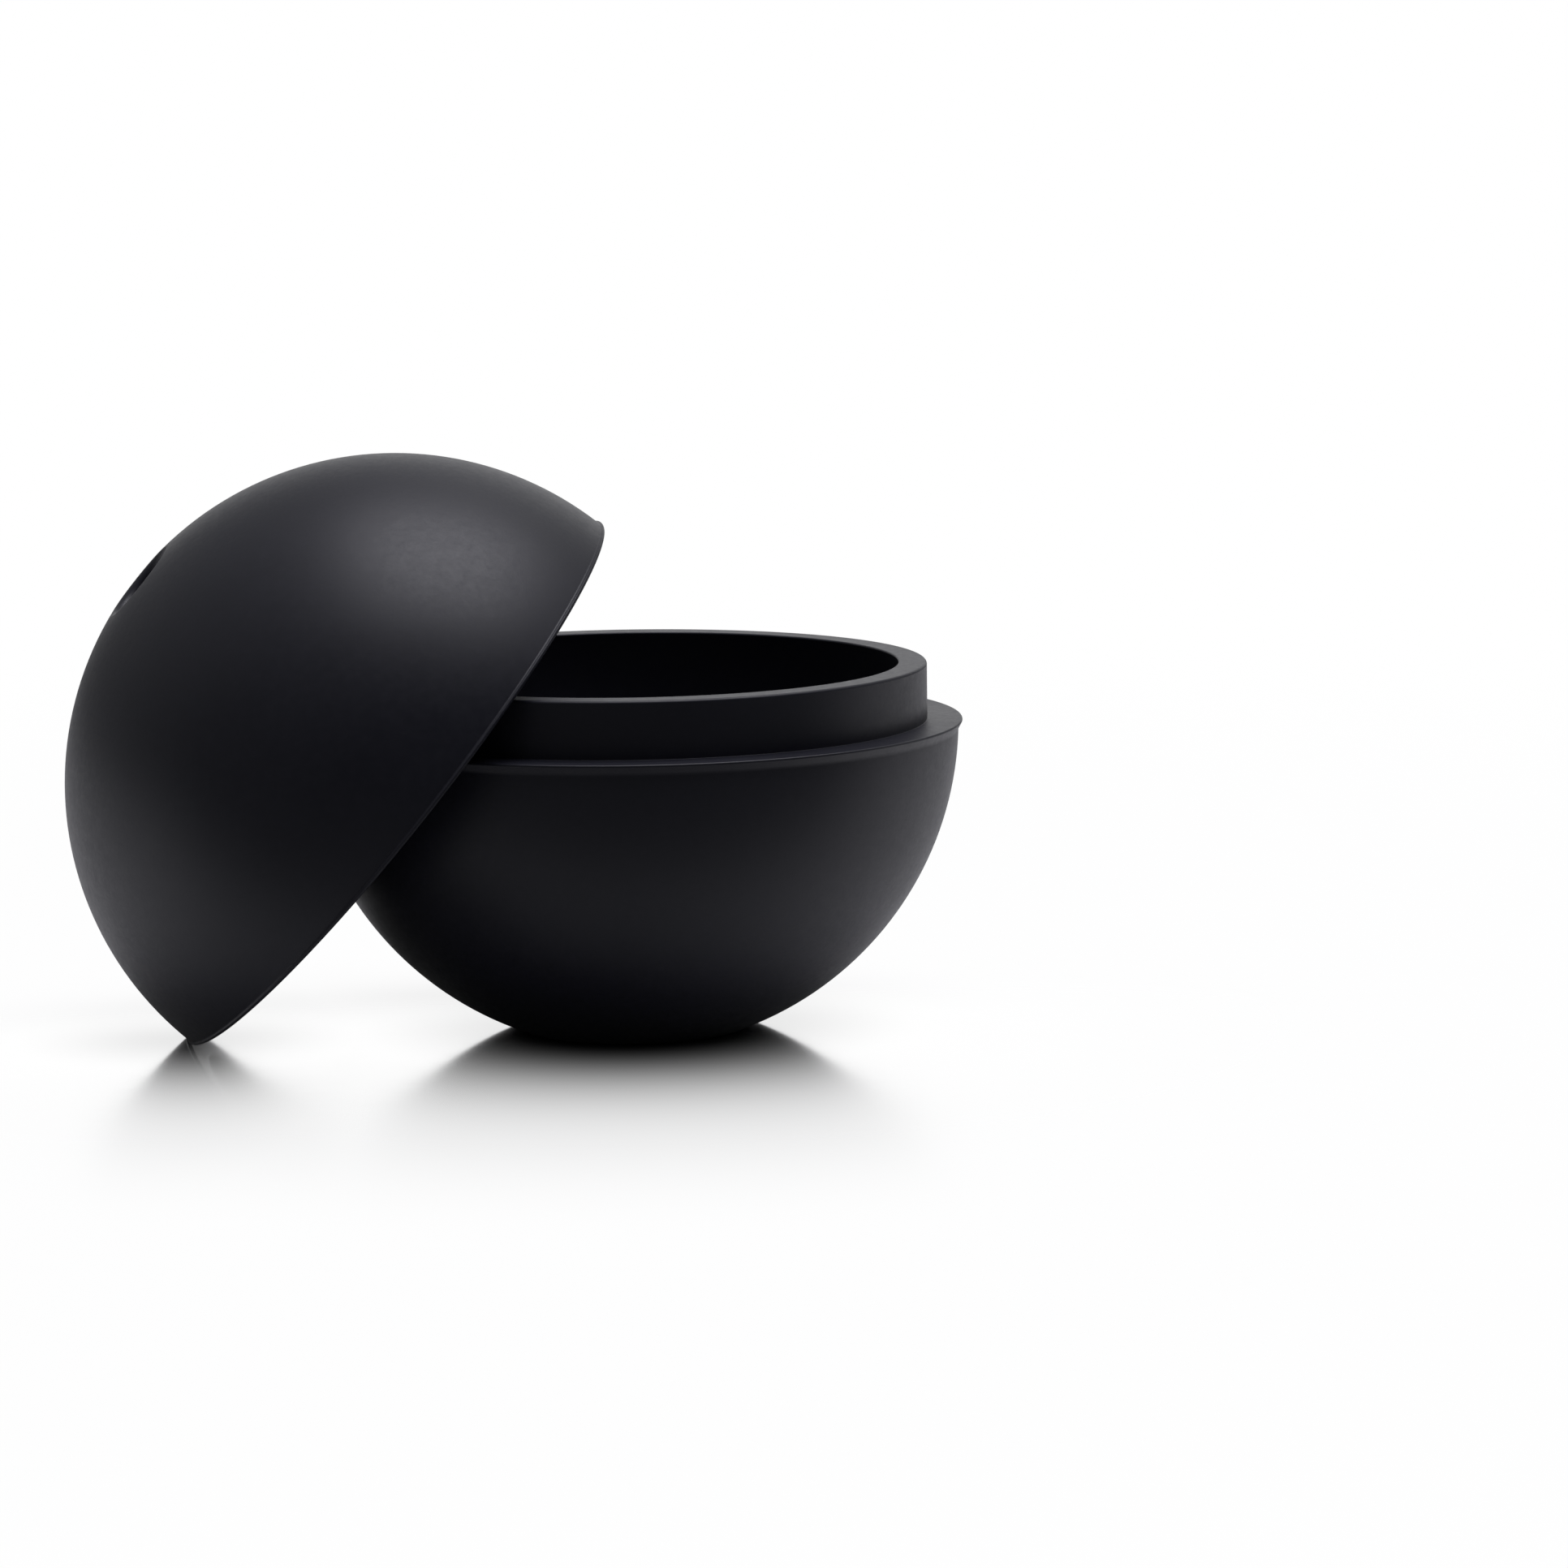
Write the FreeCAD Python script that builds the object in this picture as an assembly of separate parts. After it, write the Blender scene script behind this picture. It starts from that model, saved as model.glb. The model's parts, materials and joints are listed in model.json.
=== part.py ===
import FreeCAD, Part
from Part import ChFi2d

import math
import os

# Two-piece silicone mould for one large ice ball.
# The lower half is a bowl on a flat base. Its rim is a ledge with a raised collar inside it.
# The upper half is a domed cap with a fill hole at its pole and a rebate that takes the collar.
# The cap is off the bowl. It stands on its rim beside the bowl and leans against the collar.
# The origin is the centre of the flat base. The cap leans towards -X.

# Driving dimensions, in millimetres and degrees

# Ice ball and wall
ball_radius = 31.75
wall = 6.25

# Flat base that the bowl stands on
base_radius = 13.0
base_edge_round = 1.2

# Raised collar that locates the cap on the bowl
collar_wall = 2.65
collar_height = 6.6

# Lip along the outer edge of the bowl's ledge, flared out of the side below it
lip_proud = 0.45
lip_height = 1.1
lip_root_round = 1.0

# Bead along the rim of the cap, slimmer than the lip, so that a finger catches the lip
bead_proud = 0.22
bead_height = 0.55
bead_root_round = 0.3

# Bevel on the small edges of the lip, the bead, the collar and the rebate
edge_bevel = 0.2

# Rebate in the cap and its running fit on the collar
collar_clearance = 0.15
collar_end_gap = 0.25

# Fill hole at the pole of the cap
fill_hole_radius = 4.2
fill_hole_outer_round = 1.0
fill_hole_inner_round = 0.4

# Cap taken off and leaning on the collar
lean_angle = 50.1
lean_gap = 0.1

# Sizes that follow from the driving dimensions

outer_radius = ball_radius + wall
parting_height = math.sqrt(outer_radius**2 - base_radius**2)
lip_radius = outer_radius + lip_proud
bead_radius = outer_radius + bead_proud
collar_radius = ball_radius + collar_wall
rebate_radius = collar_radius + collar_clearance
rebate_depth = collar_height + collar_end_gap

# Fineness of the search for the place where the cap touches the collar
slide_steps = 14


def point(radius, height):
    """Point of a profile, in the plane of the axis."""
    return FreeCAD.Vector(radius, 0, height)


def on_ball(radius, height):
    """Point of a profile on a ball centred on the parting plane, at this height."""
    return point(math.sqrt(radius**2 - height**2), height)


def lines(*corners):
    """Straight edges of a profile, from each corner to the next."""
    return [Part.makeLine(start, end) for start, end in zip(corners, corners[1:])]


def ball_arc(radius, start, end):
    """Edge of a profile that follows a ball centred on the parting plane."""
    bisector = (start + end) * 0.5
    middle = bisector * (radius / bisector.Length)
    return Part.Arc(start, middle, end).toShape()


def rounded(edges, corner, radius):
    """Profile with a round where two of its edges meet at this corner."""
    after = next(
        place for place, edge in enumerate(edges)
        if edge.firstVertex(True).Point.isEqual(corner, 1e-6)
    )
    before = after - 1
    rounding = ChFi2d.FilletAlgo()
    rounding.init(Part.Wire([edges[before], edges[after]]), Part.Plane(point(0, 0), FreeCAD.Vector(0, 1, 0)))
    rounding.perform(radius)
    arc, edge_before, edge_after = rounding.result(corner)
    return edges[:before] + [edge_before, arc, edge_after] + edges[after + 1:]


def turned(edges):
    """Solid of revolution about the vertical axis."""
    profile = Part.Face(Part.Wire(Part.__sortEdges__(edges)))
    return profile.revolve(point(0, 0), FreeCAD.Vector(0, 0, 1), 360)


def lower_half():
    """Bowl with its flat base, ledge, lip and collar. The parting plane is at height zero."""
    base_centre = point(0, -parting_height)
    base_edge = point(base_radius, -parting_height)
    lip_root = on_ball(outer_radius, -lip_height)
    collar_mouth = on_ball(ball_radius, collar_height)
    collar_lip = on_ball(ball_radius, collar_height - edge_bevel)
    cavity_bottom = point(0, -ball_radius)
    lip_and_collar = lines(
        lip_root,
        point(lip_radius, -edge_bevel),
        point(lip_radius - edge_bevel, 0),
        point(collar_radius, 0),
        point(collar_radius, collar_height - edge_bevel),
        point(collar_radius - edge_bevel, collar_height),
        point(collar_mouth.x + edge_bevel, collar_height),
        collar_lip,
    )
    edges = (
        lines(base_centre, base_edge)
        + [ball_arc(outer_radius, base_edge, lip_root)]
        + lip_and_collar
        + [ball_arc(ball_radius, collar_lip, cavity_bottom)]
        + lines(cavity_bottom, base_centre)
    )
    edges = rounded(edges, base_edge, base_edge_round)
    edges = rounded(edges, lip_root, lip_root_round)
    return turned(edges)


def upper_half():
    """Cap with its bead, rebate and fill hole. The parting plane is at height zero."""
    bead_root = on_ball(outer_radius, bead_height)
    hole_top = point(fill_hole_radius, math.sqrt(outer_radius**2 - fill_hole_radius**2))
    hole_bottom = point(fill_hole_radius, math.sqrt(ball_radius**2 - fill_hole_radius**2))
    rebate_mouth = on_ball(ball_radius, rebate_depth)
    cavity_edge = on_ball(ball_radius, rebate_depth + edge_bevel)
    rebate_and_bead = lines(
        cavity_edge,
        point(rebate_mouth.x + edge_bevel, rebate_depth),
        point(rebate_radius, rebate_depth),
        point(rebate_radius, edge_bevel),
        point(rebate_radius + edge_bevel, 0),
        point(bead_radius - edge_bevel, 0),
        point(bead_radius, edge_bevel),
        bead_root,
    )
    edges = (
        rebate_and_bead
        + [ball_arc(outer_radius, bead_root, hole_top)]
        + lines(hole_top, hole_bottom)
        + [ball_arc(ball_radius, hole_bottom, cavity_edge)]
    )
    edges = rounded(edges, bead_root, bead_root_round)
    edges = rounded(edges, hole_top, fill_hole_outer_round)
    edges = rounded(edges, hole_bottom, fill_hole_inner_round)
    return turned(edges)


def leaning_place(distance):
    """Place of the cap when its rim stands on the floor, this far from the axis of the bowl."""
    lean = math.radians(lean_angle)
    centre_height = bead_radius * math.sin(lean) - edge_bevel * math.cos(lean)
    tip = FreeCAD.Rotation(FreeCAD.Vector(0, 1, 0), -lean_angle)
    return FreeCAD.Placement(FreeCAD.Vector(-distance, 0, centre_height), tip)


def leaned_on(bowl, cap):
    """Cap slid along the floor until its mouth is the lean gap away from the bowl."""
    mouth = Part.makeCompound([
        Part.makeCircle(rebate_radius, point(0, edge_bevel)),
        Part.makeCircle(rebate_radius + edge_bevel, point(0, 0)),
    ])
    near = collar_radius / 2
    far = collar_radius + bead_radius
    for _ in range(slide_steps):
        distance = (near + far) / 2
        mouth.Placement = leaning_place(distance)
        if mouth.distToShape(bowl)[0] < lean_gap:
            near = distance
        else:
            far = distance
    leaned = cap.copy()
    leaned.Placement = leaning_place(far)
    return leaned


def save(shape, node):
    """Write one piece and say how large it is."""
    shape.exportStep(os.path.join("parts", node + ".step"))
    box = shape.optimalBoundingBox()
    print(node, "valid", shape.isValid(), "solids", len(shape.Solids), "volume", round(shape.Volume, 1))
    print("  x", round(box.XMin, 2), round(box.XMax, 2), "z", round(box.ZMin, 2), round(box.ZMax, 2))


os.makedirs("parts", exist_ok=True)
bowl = lower_half()
bowl.translate(FreeCAD.Vector(0, 0, parting_height))
cap = leaned_on(bowl, upper_half())
save(bowl, "lower_half")
save(cap, "upper_half")
print("cap centre", [round(value, 3) for value in cap.Placement.Base])
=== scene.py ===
"""Looks of a two-piece silicone ice ball mould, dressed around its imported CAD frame.

The bowl stands on its flat base. The cap is off it and leans on the bowl's raised collar.
Both pieces are turned shapes, so each is one profile spun about the axis of its half.
All lengths are in metres, in the frame of the CAD.
"""

import json
import logging
import math
from abc import ABC, abstractmethod
from dataclasses import dataclass, field
from enum import Enum

import bpy
from mathutils import Matrix, Vector


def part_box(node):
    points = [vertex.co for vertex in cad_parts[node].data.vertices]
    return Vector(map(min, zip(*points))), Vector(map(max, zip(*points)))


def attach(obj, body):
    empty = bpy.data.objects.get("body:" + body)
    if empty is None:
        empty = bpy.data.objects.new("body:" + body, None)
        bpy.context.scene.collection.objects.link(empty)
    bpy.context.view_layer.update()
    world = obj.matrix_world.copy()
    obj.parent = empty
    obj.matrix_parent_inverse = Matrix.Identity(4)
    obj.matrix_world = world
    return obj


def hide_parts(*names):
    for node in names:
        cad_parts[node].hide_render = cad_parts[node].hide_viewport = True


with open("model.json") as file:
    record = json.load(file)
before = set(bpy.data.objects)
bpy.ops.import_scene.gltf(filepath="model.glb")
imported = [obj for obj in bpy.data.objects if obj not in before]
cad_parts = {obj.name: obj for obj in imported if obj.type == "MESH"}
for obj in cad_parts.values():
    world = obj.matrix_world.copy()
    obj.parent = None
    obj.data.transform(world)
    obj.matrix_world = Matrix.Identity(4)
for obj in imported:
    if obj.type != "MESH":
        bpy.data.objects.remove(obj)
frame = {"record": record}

MM = 0.001
SMALLEST = 1e-7
MEETING_STEPS = 400
NOISE_MIDDLE = 0.5
BODY = "root"

log = logging.getLogger("ice_ball_mould")

Colour = tuple[float, float, float]
Place = tuple[float, float, float]
Range = tuple[float, float]

WHITE: Colour = (1.0, 1.0, 1.0)


# Shader maths


class Operation(Enum):
    """Operations of a Math node."""

    ADD = "ADD"
    SUBTRACT = "SUBTRACT"
    MULTIPLY = "MULTIPLY"
    DIVIDE = "DIVIDE"
    POWER = "POWER"
    LARGER = "MAXIMUM"
    SMALLER = "MINIMUM"


@dataclass(frozen=True)
class Texture:
    """Noise over a surface."""

    scale: float
    """Number of features in a metre."""
    detail: float
    """Number of finer layers."""
    rough: float
    """Strength of the finer layers."""


class Value:
    """A number that comes out of a shader node, and that takes part in Python expressions."""

    def __init__(self, tree: "ShaderTree", socket: bpy.types.NodeSocket) -> None:
        """Keep the socket and the tree it belongs to.

        Args:
            tree: Tree that new maths nodes are added to.
            socket: Output socket that carries the number.
        """
        self.tree = tree
        self.socket = socket

    def _math(self, operation: Operation, *operands: "Value | float") -> "Value":
        """Add one Math node.

        Args:
            operation: What the node works out.
            operands: Numbers or values, in the order of the node's inputs.

        Returns:
            The result as a value.
        """
        node = self.tree.node(
            "ShaderNodeMath", {"operation": operation.value}, dict(enumerate(operands))
        )
        return Value(self.tree, node.outputs[0])

    def __add__(self, other: "Value | float") -> "Value":
        """Sum of two numbers."""
        return self._math(Operation.ADD, self, other)

    __radd__ = __add__

    def __sub__(self, other: "Value | float") -> "Value":
        """This number less another."""
        return self._math(Operation.SUBTRACT, self, other)

    def __rsub__(self, other: float) -> "Value":
        """Another number less this one."""
        return self._math(Operation.SUBTRACT, other, self)

    def __mul__(self, other: "Value | float") -> "Value":
        """Product of two numbers."""
        return self._math(Operation.MULTIPLY, self, other)

    def __truediv__(self, other: "Value | float") -> "Value":
        """This number divided by another."""
        return self._math(Operation.DIVIDE, self, other)

    def __pow__(self, power: float) -> "Value":
        """This number to a power."""
        return self._math(Operation.POWER, self, power)

    def at_least(self, other: "Value | float") -> "Value":
        """The larger of this number and another."""
        return self._math(Operation.LARGER, self, other)

    def at_most(self, other: "Value | float") -> "Value":
        """The smaller of this number and another."""
        return self._math(Operation.SMALLER, self, other)

    def ramp(self, low: float, high: float) -> "Value":
        """Smooth step of this number.

        Args:
            low: Number at which the step starts, where the result is 0.
            high: Number at which it ends, where the result is 1.

        Returns:
            The step as a value.
        """
        node = self.tree.node(
            "ShaderNodeMapRange",
            {"interpolation_type": "SMOOTHSTEP"},
            {"Value": self, "From Min": low, "From Max": high, "To Min": 0.0, "To Max": 1.0},
        )
        return Value(self.tree, node.outputs["Result"])


class ShaderTree:
    """Node tree of one material or of the world, built by calls and expressions."""

    def __init__(self, tree: bpy.types.NodeTree) -> None:
        """Start from an empty tree.

        Args:
            tree: Tree of a material or world whose nodes are replaced.
        """
        self.tree = tree
        tree.nodes.clear()

    def _fill(self, socket: bpy.types.NodeSocket, content: object) -> None:
        """Give one input what it takes.

        Args:
            socket: Input of a node.
            content: A number, colour, vector, value or output socket.
        """
        if isinstance(content, Value):
            content = content.socket
        if isinstance(content, bpy.types.NodeSocket):
            self.tree.links.new(content, socket)
        elif socket.type == "RGBA":
            socket.default_value = (*content, 1.0)
        else:
            socket.default_value = content

    def node(
        self,
        kind: str,
        settings: dict[str, object] | None = None,
        inputs: dict[str | int, object] | None = None,
    ) -> bpy.types.Node:
        """Add one node.

        Args:
            kind: Type name of the node.
            settings: Properties of the node, set before its sockets.
            inputs: What each input takes, by its name or place.

        Returns:
            The new node.
        """
        node = self.tree.nodes.new(kind)
        for name, setting in (settings or {}).items():
            setattr(node, name, setting)
        for key, content in (inputs or {}).items():
            self._fill(node.inputs[key], content)
        return node

    def value(self, node: bpy.types.Node, output: str | int = 0) -> Value:
        """Output of a node as a value."""
        return Value(self, node.outputs[output])

    def noise(self, place: bpy.types.NodeSocket, texture: Texture) -> Value:
        """Noise over the surface.

        Args:
            place: Coordinates in which the noise lies.
            texture: How fine the noise is.

        Returns:
            The noise, which is NOISE_MIDDLE on average.
        """
        node = self.node(
            "ShaderNodeTexNoise",
            {"noise_dimensions": "3D"},
            {
                "Vector": place,
                "Scale": texture.scale,
                "Detail": texture.detail,
                "Roughness": texture.rough,
            },
        )
        return self.value(node)

    def distance(self, place: bpy.types.NodeSocket, spot: Vector) -> Value:
        """Distance of each place from one spot."""
        node = self.node("ShaderNodeVectorMath", {"operation": "DISTANCE"}, {0: place, 1: spot})
        return self.value(node, "Value")

    def matt(self, colour: Colour) -> bpy.types.Node:
        """Matt shader of one colour."""
        return self.node("ShaderNodeBsdfDiffuse", None, {"Color": colour})

    def shaders(
        self, factor: Value, first: bpy.types.Node, second: bpy.types.Node
    ) -> bpy.types.Node:
        """Mix of two shader nodes, where the factor is the share of the second."""
        return self.node(
            "ShaderNodeMixShader", None, {0: factor, 1: first.outputs[0], 2: second.outputs[0]}
        )

    def colours(self, factor: Value, first: Colour, second: Colour) -> bpy.types.NodeSocket:
        """Mix of two colours.

        Args:
            factor: Share of the second colour.
            first: Colour shown at 0.
            second: Colour shown at 1.

        Returns:
            Socket with the mixed colour.
        """
        node = self.node("ShaderNodeMix", {"data_type": "RGBA"}, {0: factor})
        colour_inputs = [socket for socket in node.inputs if socket.type == "RGBA"]
        for socket, content in zip(colour_inputs, (first, second)):
            self._fill(socket, content)
        return next(socket for socket in node.outputs if socket.type == "RGBA")


# Finishes


@dataclass(frozen=True)
class SiliconeFinish:
    """Matte black moulded silicone: fine spark-eroded grain, faint bloom and a soft sheen."""

    name: str = "black_silicone_moulded"
    deep: Colour = (0.0066, 0.0071, 0.0140)
    bloom: Colour = (0.0108, 0.0113, 0.0194)
    roughness: float = 0.46
    roughness_clouds: float = 0.10
    roughness_pits: float = 0.14
    roughness_grain: float = 0.10
    refraction: float = 1.43
    clouds: Texture = Texture(45.0, 4.0, 0.55)
    grain: Texture = Texture(2600.0, 2.0, 0.6)
    pits: Texture = Texture(900.0, 3.0, 0.65)
    bloom_in_clouds: Range = (0.35, 0.7)
    bloom_in_pits: Range = (0.4, 0.75)
    bloom_share_of_clouds: float = 0.6
    height_share_of_grain: float = 0.6
    grain_height: float = 0.022 * MM
    grain_strength: float = 0.35

    def material(self) -> bpy.types.Material:
        """Build the material.

        Returns:
            Material with colour, roughness and bump that vary over the surface.
        """
        material = bpy.data.materials.new(self.name)
        material.use_nodes = True
        tree = ShaderTree(material.node_tree)
        place = tree.node("ShaderNodeTexCoord").outputs["Object"]
        clouds = tree.noise(place, self.clouds)
        grain = tree.noise(place, self.grain)
        pits = tree.noise(place, self.pits)
        dusting = clouds.ramp(*self.bloom_in_clouds) * self.bloom_share_of_clouds
        dusting = dusting + pits.ramp(*self.bloom_in_pits) * (1.0 - self.bloom_share_of_clouds)
        height = grain * self.height_share_of_grain + pits * (1.0 - self.height_share_of_grain)
        bump = tree.node(
            "ShaderNodeBump",
            None,
            {
                "Strength": self.grain_strength,
                "Distance": self.grain_height,
                "Height": height,
            },
        )
        surface = tree.node(
            "ShaderNodeBsdfPrincipled",
            None,
            {
                "Base Color": tree.colours(dusting, self.deep, self.bloom),
                "Roughness": (clouds - NOISE_MIDDLE) * self.roughness_clouds
                + (pits - NOISE_MIDDLE) * self.roughness_pits
                + (grain - NOISE_MIDDLE) * self.roughness_grain
                + self.roughness,
                "IOR": self.refraction,
                "Normal": bump.outputs["Normal"],
            },
        )
        tree.node("ShaderNodeOutputMaterial", None, {"Surface": surface.outputs[0]})
        return material


@dataclass(frozen=True)
class FloorFinish:
    """Polished white sheet that mirrors the mould where it stands.

    The mirror image soon fades with the distance, and painted shade makes it a little darker near
    the contact.
    Behind the mould it fades out, and a faint shadow takes its place.
    """

    contact: Vector
    """Middle of the face on which the bowl stands."""
    contact_radius: float
    """Radius of the foot of the bowl."""
    tip: Vector
    """Spot on which the rim of the cap stands."""
    name: str = "floor_sheet"
    white: Colour = (0.97, 0.97, 0.97)
    # Painted shade: the floor that the mould sees is grey before it and white beside it.
    painted_shade_grey_before: Colour = (0.2, 0.2, 0.2)
    white_beside: Colour = (0.95, 0.95, 0.95)
    painted_shade_to: float = -80 * MM
    white_from: float = -15 * MM
    polish: float = 0.06
    polish_change: float = 0.03
    polish_lost: float = 0.16
    texture: Texture = Texture(300.0, 3.0, 0.5)
    mirror_reach: float = 29.3 * MM
    mirror_fall: float = 2.6
    fade_from: float = 60 * MM
    fade_to: float = 110 * MM
    # Painted shade: share of black mixed into the mirror at the contact, fading out by
    # contact_shade_to.
    contact_shade: float = 0.2
    contact_shade_to: float = 22 * MM
    mirror_back_from: float = 0.0
    mirror_back_to: float = 30 * MM
    back_shadow_share: float = 0.2
    back_shadow_to: float = 40 * MM
    shadow_share: float = 0.05
    shadow_from: float = 120 * MM
    shadow_to: float = 400 * MM

    def mirror(self, away: Value) -> Value:
        """Strength of the mirror image at a distance from what stands on the floor.

        Args:
            away: Distance from the contact.

        Returns:
            Near 1 at the contact, and 0 far away.
        """
        faded = 1.0 - away.ramp(self.fade_from, self.fade_to)
        return faded / (1.0 + (away / self.mirror_reach) ** self.mirror_fall)

    def _seen(
        self, tree: ShaderTree, place: bpy.types.NodeSocket, depth: Value
    ) -> bpy.types.Node:
        """Build what the camera sees.

        Args:
            tree: Tree of the material.
            place: Coordinates on the floor.
            depth: Distance behind the middle of the bowl.

        Returns:
            Shader of a white floor with the shadow, the mirror image of the mould and painted shade
            near the contact.
        """
        from_axis = tree.distance(place, self.contact)
        from_bowl = (from_axis - self.contact_radius).at_least(0.0)
        away = from_bowl.at_most(tree.distance(place, self.tip))
        back = depth.ramp(self.mirror_back_from, self.mirror_back_to)
        near = 1.0 - away.ramp(0.0, self.back_shadow_to)
        shadow = (1.0 - from_axis.ramp(self.shadow_from, self.shadow_to)) * self.shadow_share
        shadow = shadow + back * near * self.back_shadow_share
        plain = tree.node("ShaderNodeEmission", None, {"Strength": 1.0})
        lit = tree.matt(self.white)
        polished = tree.node(
            "ShaderNodeBsdfAnisotropic",
            {"distribution": "MULTI_GGX"},
            {
                "Color": WHITE,
                "Roughness": away.ramp(0.0, self.fade_from) * self.polish_lost
                + tree.noise(place, self.texture) * self.polish_change
                + self.polish,
            },
        )
        # Painted shade near the contact: a black shader mixed into the mirror.
        unlit = tree.node("ShaderNodeEmission", None, {"Strength": 0.0})
        shade = (1.0 - away.ramp(0.0, self.contact_shade_to)) * self.contact_shade
        mirrored = tree.shaders(shade, polished, unlit)
        strength = self.mirror(away) * (1.0 - back)
        return tree.shaders(strength, tree.shaders(shadow, plain, lit), mirrored)

    def _thrown(self, tree: ShaderTree, depth: Value) -> bpy.types.Node:
        """Build what throws light back on the mould.

        Args:
            tree: Tree of the material.
            depth: Distance behind the middle of the bowl.

        Returns:
            Shader of a floor that is grey with painted shade before the mould and white beside it.
        """
        # Painted shade before the mould, seen only in the light thrown back on the mould.
        before = tree.matt(self.painted_shade_grey_before)
        beside = tree.matt(self.white_beside)
        return tree.shaders(depth.ramp(self.painted_shade_to, self.white_from), before, beside)

    def material(self) -> bpy.types.Material:
        """Build the material.

        Returns:
            Material that looks one way to the camera and another way to the mould.
        """
        material = bpy.data.materials.new(self.name)
        material.use_nodes = True
        tree = ShaderTree(material.node_tree)
        place = tree.node("ShaderNodeTexCoord").outputs["Object"]
        depth = tree.value(tree.node("ShaderNodeSeparateXYZ", None, {0: place}), "Y")
        camera = tree.value(tree.node("ShaderNodeLightPath"), "Is Camera Ray")
        both = tree.shaders(camera, self._thrown(tree, depth), self._seen(tree, place, depth))
        tree.node("ShaderNodeOutputMaterial", None, {"Surface": both.outputs[0]})
        return material


# Turned shapes


@dataclass(frozen=True)
class Corner:
    """Corner of a profile: distance from the axis, height and the round that softens it."""

    radius: float
    height: float
    rounding: float = 0.0
    along_ball: bool = False
    """Whether the profile follows a ball, and not a straight line, from this corner to the next."""

    @property
    def point(self) -> Vector:
        """The corner as a point in the plane of the profile."""
        return Vector((self.radius, self.height))


@dataclass
class Stretch:
    """Smooth stretch of a profile, straight or along a circle."""

    start: Vector
    end: Vector
    centre: Vector | None = None

    def angles(self) -> tuple[float, float]:
        """Angles of a stretch along a circle.

        Returns:
            Direction from the centre to the start, and the turn to the end, under half a turn.
        """
        first = self.start - self.centre
        last = self.end - self.centre
        low = math.atan2(first.y, first.x)
        turn = math.atan2(last.y, last.x) - low
        turn = (turn + math.pi) % (2 * math.pi) - math.pi
        return low, turn

    @property
    def on_axis(self) -> bool:
        """Whether the stretch runs along the axis, where it makes no surface."""
        return max(self.start.x, self.end.x) < SMALLEST

    @property
    def length(self) -> float:
        """Length along the stretch, straight or around its circle."""
        if self.centre is None:
            return (self.end - self.start).length
        return abs(self.angles()[1]) * (self.start - self.centre).length

    def at(self, share: float) -> Vector:
        """Point on the stretch.

        Args:
            share: Share of the stretch that lies before the point.

        Returns:
            The point.
        """
        if self.centre is None:
            return self.start.lerp(self.end, share)
        low, turn = self.angles()
        reach = (self.start - self.centre).length
        angle = low + turn * share
        return self.centre + reach * Vector((math.cos(angle), math.sin(angle)))

    def heading(self, share: float) -> Vector:
        """Direction of travel along the stretch.

        Args:
            share: Share of the stretch that lies before the point.

        Returns:
            The direction at the point, one long.
        """
        if self.centre is None:
            return (self.end - self.start).normalized()
        low, turn = self.angles()
        angle = low + turn * share
        side = 1.0 if turn > 0 else -1.0
        return side * Vector((-math.sin(angle), math.cos(angle)))

    def offset(self, reach: float) -> "Stretch":
        """Move the stretch to its left.

        Args:
            reach: How far, and less than 0 to its right.

        Returns:
            The stretch in its new place.
        """
        ends = []
        for share in (0.0, 1.0):
            ahead = self.heading(share)
            ends.append(self.at(share) + reach * Vector((-ahead.y, ahead.x)))
        return Stretch(ends[0], ends[1], self.centre)


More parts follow.
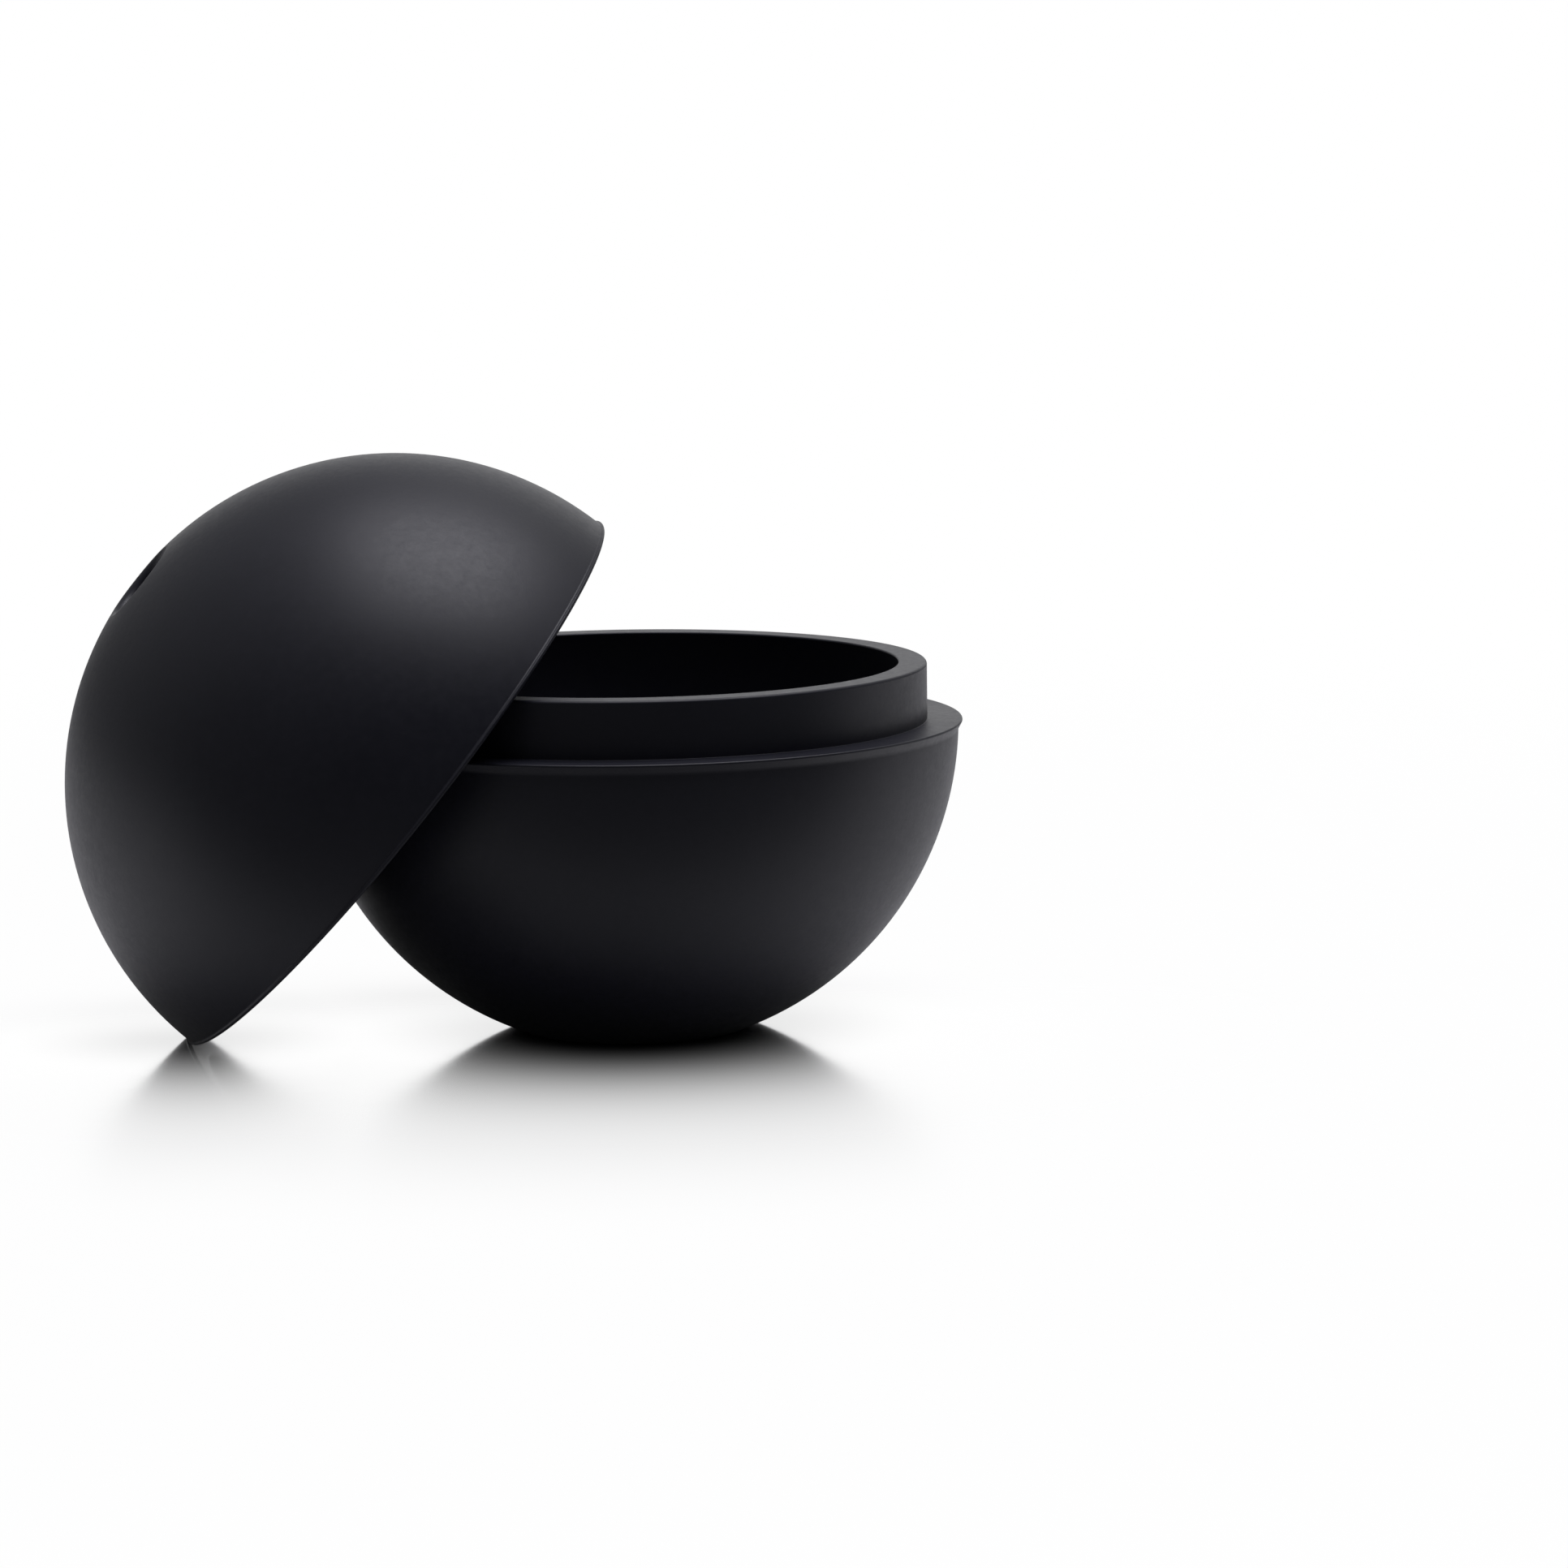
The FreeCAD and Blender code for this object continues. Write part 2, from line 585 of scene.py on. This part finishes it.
class Profile:
    """Outline of a turned piece, with its corners rounded."""

    def __init__(self, corners: list[Corner]) -> None:
        """Join the corners and round them.

        Args:
            corners: Corners in order, anticlockwise. The last joins the first.
        """
        count = len(corners)
        sides = [
            self._side(corners[place], corners[(place + 1) % count]) for place in range(count)
        ]
        self.stretches: list[Stretch] = []
        rounds: list[Stretch | None] = []
        for place, corner in enumerate(corners):
            before, after = sides[place - 1], sides[place]
            rounds.append(self._round(before, after, corner.rounding) if corner.rounding else None)
        for place, side in enumerate(sides):
            if rounds[place]:
                self.stretches.append(rounds[place])
            self.stretches.append(side)

    @staticmethod
    def _side(first: Corner, last: Corner) -> Stretch:
        """Stretch between two corners, straight or on a ball about the middle of the mould."""
        centre = Vector((0.0, 0.0)) if first.along_ball else None
        return Stretch(first.point, last.point, centre)

    @staticmethod
    def _round(before: Stretch, after: Stretch, rounding: float) -> Stretch:
        """Round where two stretches meet, which are cut back to it.

        Args:
            before: Stretch that ends in the corner.
            after: Stretch that starts there.
            rounding: Radius of the round.

        Returns:
            The round as a stretch.
        """
        came, goes = before.heading(1.0), after.heading(0.0)
        left = came.x * goes.y - came.y * goes.x > 0
        reach = rounding if left else -rounding
        low_before, low_after = before.offset(reach), after.offset(reach)
        centre = Profile._meeting(low_before, low_after)
        before.end = Profile._foot(before, centre)
        after.start = Profile._foot(after, centre)
        return Stretch(before.end.copy(), after.start.copy(), centre)

    @staticmethod
    def _foot(stretch: Stretch, point: Vector) -> Vector:
        """Find the foot of a point on the line or circle of a stretch.

        Args:
            stretch: Stretch whose line or circle is meant.
            point: Point beside it.

        Returns:
            The nearest point of the line or circle.
        """
        if stretch.centre is None:
            ahead = stretch.heading(0.0)
            return stretch.start + ahead * (point - stretch.start).dot(ahead)
        reach = (stretch.start - stretch.centre).length
        return stretch.centre + (point - stretch.centre).normalized() * reach

    @staticmethod
    def _meeting(first: Stretch, second: Stretch) -> Vector:
        """Find where the lines or circles of two stretches meet.

        Args:
            first: Stretch that ends near the meeting point.
            second: Stretch that starts near it.

        Returns:
            The meeting point nearest to that end and start.
        """
        near = (first.end + second.start) / 2
        for _ in range(MEETING_STEPS):
            near = Profile._foot(second, Profile._foot(first, near))
        return near

    def samples(self, step: float, turn: float) -> list[tuple[Vector, Vector]]:
        """Points along the outline with their outward directions.

        Args:
            step: Longest distance between points on a straight or wide stretch.
            turn: Largest change of direction between points on a round, in radians.

        Returns:
            Pairs of a point and the outward direction there.
        """
        found: list[tuple[Vector, Vector]] = []
        for stretch in self.stretches:
            if stretch.on_axis:
                continue
            parts = max(1, math.ceil(stretch.length / step))
            if stretch.centre is not None:
                parts = max(parts, math.ceil(abs(stretch.angles()[1]) / turn))
            for part in range(parts + 1):
                share = part / parts
                point = stretch.at(share)
                ahead = stretch.heading(share)
                if found and (found[-1][0] - point).length < SMALLEST:
                    continue
                found.append((point, Vector((ahead.y, -ahead.x))))
        if (found[-1][0] - found[0][0]).length < SMALLEST:
            found.pop()
        return found


@dataclass
class MouldHalf(ABC):
    """What both halves of the mould share: the ball they make, the wall and the closure."""

    node: str
    piece: str
    ball_radius: float = 31.75 * MM
    wall: float = 6.25 * MM
    collar_wall: float = 2.65 * MM
    collar_height: float = 6.6 * MM
    edge_round: float = 0.34 * MM
    crisp_round: float = 0.2 * MM
    inner_round: float = 0.05 * MM
    segments: int = 288
    point_step: float = 1.2 * MM
    point_turn: float = math.radians(7.5)

    @property
    def outer_radius(self) -> float:
        """Radius of the outside of the shell."""
        return self.ball_radius + self.wall

    @property
    def collar_radius(self) -> float:
        """Radius of the outside of the collar."""
        return self.ball_radius + self.collar_wall

    def on_ball(self, radius: float, height: float) -> float:
        """Distance from the axis of a ball's surface at this height."""
        return math.sqrt(radius**2 - height**2)

    @abstractmethod
    def corners(self) -> list[Corner]:
        """Corners of the profile, with the parting plane at height zero."""

    @abstractmethod
    def placed(self) -> Matrix:
        """Place of the half, from its own axis and parting plane to the frame."""

    def _band(self, lower: list[int], upper: list[int]) -> list[tuple[int, ...]]:
        """Faces between two rings of points.

        Args:
            lower: Points of the first ring, or the one point on the axis.
            upper: Points of the next ring, or the one point on the axis.

        Returns:
            Faces that look outwards, and none between two points on the axis.
        """
        faces: list[tuple[int, ...]] = []
        if len(lower) == 1 and len(upper) == 1:
            return faces
        for part in range(self.segments):
            after = (part + 1) % self.segments
            if len(lower) == 1:
                faces.append((lower[0], upper[after], upper[part]))
            elif len(upper) == 1:
                faces.append((lower[part], lower[after], upper[0]))
            else:
                faces.append((lower[part], lower[after], upper[after], upper[part]))
        return faces

    def mesh(self) -> bpy.types.Mesh:
        """Spin the profile about the axis.

        Returns:
            Closed mesh of the half in its place, with the true normals of the turned shape.
        """
        samples = Profile(self.corners()).samples(self.point_step, self.point_turn)
        points: list[Vector] = []
        normals: list[Vector] = []
        rings: list[list[int]] = []
        for spot, outward in samples:
            count = 1 if spot.x < SMALLEST else self.segments
            ring = []
            for part in range(count):
                angle = 2 * math.pi * part / self.segments
                around = Vector((math.cos(angle), math.sin(angle), 0.0))
                ring.append(len(points))
                points.append(around * spot.x + Vector((0.0, 0.0, spot.y)))
                tilt = outward.x if count > 1 else 0.0
                rise = outward.y if count > 1 else math.copysign(1.0, outward.y)
                normals.append((around * tilt + Vector((0.0, 0.0, rise))).normalized())
            rings.append(ring)
        faces = [
            face
            for place, lower in enumerate(rings)
            for face in self._band(lower, rings[(place + 1) % len(rings)])
        ]
        matrix = self.placed()
        mesh = bpy.data.meshes.new(self.piece)
        mesh.from_pydata([matrix @ spot for spot in points], [], faces)
        mesh.polygons.foreach_set("use_smooth", [True] * len(mesh.polygons))
        turn = matrix.to_3x3()
        mesh.normals_split_custom_set_from_vertices([turn @ normal for normal in normals])
        mesh.update()
        return mesh

    def build(self, finish: bpy.types.Material) -> bpy.types.Object:
        """Build the half, dress it and let it stand for its CAD node.

        Args:
            finish: Material of the half.

        Returns:
            The new object.
        """
        mesh = self.mesh()
        mesh.materials.append(finish)
        half = bpy.data.objects.new(self.piece, mesh)
        bpy.context.scene.collection.objects.link(half)
        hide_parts(self.node)
        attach(half, BODY)
        return half


@dataclass
class LowerHalf(MouldHalf):
    """Bowl with its flat base, ledge, lip and raised collar."""

    node: str = "lower_half"
    piece: str = "bowl_with_collar"
    base_radius: float = 13.0 * MM
    base_edge_round: float = 1.2 * MM
    lip_proud: float = 0.45 * MM
    lip_height: float = 1.1 * MM
    lip_land: float = 0.25 * MM
    lip_edge_round: float = 0.18 * MM
    lip_under_round: float = 0.12 * MM
    lip_root_round: float = 1.0 * MM

    @property
    def parting_height(self) -> float:
        """Height of the parting plane over the base."""
        return self.on_ball(self.outer_radius, self.base_radius)

    def corners(self) -> list[Corner]:
        """List the corners of the bowl's profile.

        Returns:
            Corners anticlockwise from the middle of the base.
        """
        base = -self.parting_height
        outer, ball = self.outer_radius, self.ball_radius
        lip = outer + self.lip_proud
        lip_root = self.on_ball(outer, self.lip_height)
        collar_mouth = self.on_ball(ball, self.collar_height)
        return [
            Corner(0.0, base),
            Corner(self.base_radius, base, self.base_edge_round, along_ball=True),
            Corner(lip_root, -self.lip_height, self.lip_root_round),
            Corner(lip, -self.lip_land, self.lip_under_round),
            Corner(lip, 0.0, self.lip_edge_round),
            Corner(self.collar_radius, 0.0, self.inner_round),
            Corner(self.collar_radius, self.collar_height, self.edge_round),
            Corner(collar_mouth, self.collar_height, self.crisp_round, along_ball=True),
            Corner(0.0, -ball),
        ]

    def placed(self) -> Matrix:
        """The bowl stands upright on its base."""
        return Matrix.Translation((0.0, 0.0, self.parting_height))


@dataclass
class UpperHalf(MouldHalf):
    """Cap with its bead, rebate and fill hole, leaning on the bowl."""

    node: str = "upper_half"
    piece: str = "domed_cap"
    collar_clearance: float = 0.15 * MM
    collar_end_gap: float = 0.25 * MM
    bead_proud: float = 0.22 * MM
    bead_height: float = 0.55 * MM
    bead_land: float = 0.36 * MM
    bead_edge_round: float = 0.32 * MM
    bead_under_round: float = 0.08 * MM
    bead_root_round: float = 0.25 * MM
    fill_hole_radius: float = 4.2 * MM
    fill_hole_outer_round: float = 1.0 * MM
    fill_hole_inner_round: float = 0.4 * MM
    mount: str = "fill_hole"

    @property
    def bead_radius(self) -> float:
        """Radius of the bead at the rim."""
        return self.outer_radius + self.bead_proud

    def corners(self) -> list[Corner]:
        """List the corners of the cap's profile.

        Returns:
            Corners anticlockwise from the mouth of the rebate.
        """
        outer, ball = self.outer_radius, self.ball_radius
        rebate = self.collar_radius + self.collar_clearance
        depth = self.collar_height + self.collar_end_gap
        hole = self.fill_hole_radius
        bead_root = self.on_ball(outer, self.bead_height)
        return [
            Corner(rebate, 0.0, self.edge_round),
            Corner(self.bead_radius, 0.0, self.bead_edge_round),
            Corner(self.bead_radius, self.bead_land, self.bead_under_round),
            Corner(bead_root, self.bead_height, self.bead_root_round, along_ball=True),
            Corner(hole, self.on_ball(outer, hole), self.fill_hole_outer_round),
            Corner(hole, self.on_ball(ball, hole), self.fill_hole_inner_round, along_ball=True),
            Corner(self.on_ball(ball, depth), depth, self.edge_round),
            Corner(rebate, depth, self.inner_round),
        ]

    def low_point(self) -> Vector:
        """Point of the rim that stands on the floor."""
        return self.placed() @ Vector((-self.bead_radius, 0.0, 0.0))

    def placed(self) -> Matrix:
        """The cap leans along the axis of its fill hole, and its dome fills the box of its node.

        Returns:
            Place of the cap's axis and parting plane.
        """
        low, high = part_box(self.node)
        mounts = frame["record"]["mounts"]
        axis = next(Vector(mount["axis"]) for mount in mounts if mount["name"] == self.mount)
        centre = Vector((low[0] + self.outer_radius, 0.0, high[2] - self.outer_radius))
        lean = Vector((0.0, 0.0, 1.0)).rotation_difference(axis).to_matrix().to_4x4()
        return Matrix.Translation(centre) @ lean


# Studio


@dataclass
class Camera:
    """Camera at the viewing angle of the photograph."""

    place: Place = (-70.84 * MM, -773.29 * MM, 136.77 * MM)
    azimuth: float = math.radians(-6.542)
    fall: float = math.radians(7.973)
    roll: float = math.radians(0.720)
    lens: float = 155.38
    sensor: float = 36.0
    nearest: float = 0.05
    farthest: float = 50.0

    def build(self) -> bpy.types.Object:
        """Create the camera and make it the scene's own.

        Returns:
            The camera object.
        """
        data = bpy.data.cameras.new("camera")
        data.sensor_width = self.sensor
        data.lens = self.lens
        data.clip_start = self.nearest
        data.clip_end = self.farthest
        camera = bpy.data.objects.new("camera", data)
        camera.matrix_world = (
            Matrix.Translation(self.place)
            @ Matrix.Rotation(self.azimuth, 4, "Z")
            @ Matrix.Rotation(math.pi / 2 - self.fall, 4, "X")
            @ Matrix.Rotation(-self.roll, 4, "Z")
        )
        bpy.context.scene.collection.objects.link(camera)
        bpy.context.scene.camera = camera
        return camera


@dataclass
class Softbox:
    """Soft lamp over the mould, which it faces."""

    name: str = "lamp_overhead"
    place: Place = (0.15, 0.0, 0.84)
    facing: Place = (0.0, 0.0, 0.03)
    size: tuple[float, float] = (0.62, 0.62)
    radiance: float = 4.5
    colour: Colour = (0.99, 0.98, 1.05)

    def build(self) -> bpy.types.Object:
        """Create the lamp.

        Returns:
            The lamp object, which no camera sees.
        """
        data = bpy.data.lights.new(self.name, "AREA")
        data.shape = "RECTANGLE"
        data.size, data.size_y = self.size
        data.energy = self.radiance * math.pi * self.size[0] * self.size[1]
        data.color = self.colour
        lamp = bpy.data.objects.new(self.name, data)
        aim = Vector(self.facing) - Vector(self.place)
        turn = aim.to_track_quat("-Z", "Y").to_matrix().to_4x4()
        lamp.matrix_world = Matrix.Translation(self.place) @ turn
        lamp.visible_camera = False
        bpy.context.scene.collection.objects.link(lamp)
        return lamp


@dataclass(frozen=True)
class Glow:
    """Soft patch of light in the surroundings, which lights the mould and no camera sees."""

    azimuth: float
    """Direction in degrees, 0 behind the mould and 90 at its right."""
    elevation: float
    radiance: float
    edge: float = 0.64
    """Cosine of the angle at which the patch has faded."""
    full: float = 1.0
    """Cosine of the angle within which it is at its brightest."""

    @property
    def direction(self) -> Vector:
        """Direction of the middle of the patch, seen from the mould."""
        azimuth, elevation = math.radians(self.azimuth), math.radians(self.elevation)
        level = math.cos(elevation)
        return Vector((math.sin(azimuth) * level, math.cos(azimuth) * level, math.sin(elevation)))

    def strength(self, tree: ShaderTree, direction: bpy.types.NodeSocket) -> Value:
        """Light of the patch in each direction.

        Args:
            tree: Tree of the world.
            direction: Direction from the mould.

        Returns:
            The patch's radiance at its middle, fading to 0 at its edge.
        """
        towards = tree.node(
            "ShaderNodeVectorMath",
            {"operation": "DOT_PRODUCT"},
            {0: direction, 1: self.direction},
        )
        return tree.value(towards, "Value").ramp(self.edge, self.full) * self.radiance


@dataclass
class Studio:
    """Pale floor, white surroundings with soft patches of light, overhead lamp and camera."""

    floor: FloorFinish
    floor_radius: float = 6.0
    floor_corners: int = 64
    camera: Camera = field(default_factory=Camera)
    dim: float = 0.034
    glows: tuple[Glow, ...] = (
        Glow(8.0, 7.0, 0.78, edge=0.88, full=0.975),
        Glow(0.0, 8.0, 0.125),
        Glow(0.0, 42.0, 0.125),
        Glow(60.0, 42.0, 0.37),
        Glow(240.0, 42.0, 0.10),
        Glow(300.0, 42.0, 0.24),
    )
    lamp: Softbox = field(default_factory=Softbox)

    def surroundings(self) -> None:
        """Make the world: white for the camera, and soft patches in a dim room for light."""
        world = bpy.data.worlds.new("surroundings")
        world.use_nodes = True
        bpy.context.scene.world = world
        tree = ShaderTree(world.node_tree)
        direction = tree.node("ShaderNodeTexCoord").outputs["Generated"]
        room: Value | float = self.dim
        for glow in self.glows:
            room = glow.strength(tree, direction) + room
        camera = tree.value(tree.node("ShaderNodeLightPath"), "Is Camera Ray")
        strength = camera + (1.0 - camera) * room
        light = tree.node("ShaderNodeBackground", None, {"Color": WHITE, "Strength": strength})
        tree.node("ShaderNodeOutputWorld", None, {"Surface": light.outputs[0]})

    def sheet(self) -> bpy.types.Object:
        """Lay the floor.

        Returns:
            The floor object.
        """
        angles = [2 * math.pi * part / self.floor_corners for part in range(self.floor_corners)]
        points = [
            (self.floor_radius * math.cos(angle), self.floor_radius * math.sin(angle), 0.0)
            for angle in angles
        ]
        mesh = bpy.data.meshes.new("floor")
        mesh.from_pydata(points, [], [tuple(range(self.floor_corners))])
        mesh.materials.append(self.floor.material())
        floor = bpy.data.objects.new("floor", mesh)
        bpy.context.scene.collection.objects.link(floor)
        return floor

    def build(self) -> None:
        """Set up the whole studio."""
        self.surroundings()
        self.sheet()
        self.lamp.build()
        self.camera.build()
        bpy.context.scene.view_settings.view_transform = "Standard"


def main() -> None:
    """Build the studio and both halves."""
    logging.basicConfig(level=logging.INFO, format="%(name)s: %(message)s")
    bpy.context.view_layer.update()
    lower, upper = LowerHalf(), UpperHalf()
    floor = FloorFinish(Vector(), lower.base_radius, upper.low_point())
    Studio(floor).build()
    silicone = SiliconeFinish().material()
    for half in (lower, upper):
        piece = half.build(silicone)
        log.info("%s has %d faces", piece.name, len(piece.data.polygons))


if __name__ == "__main__":
    main()
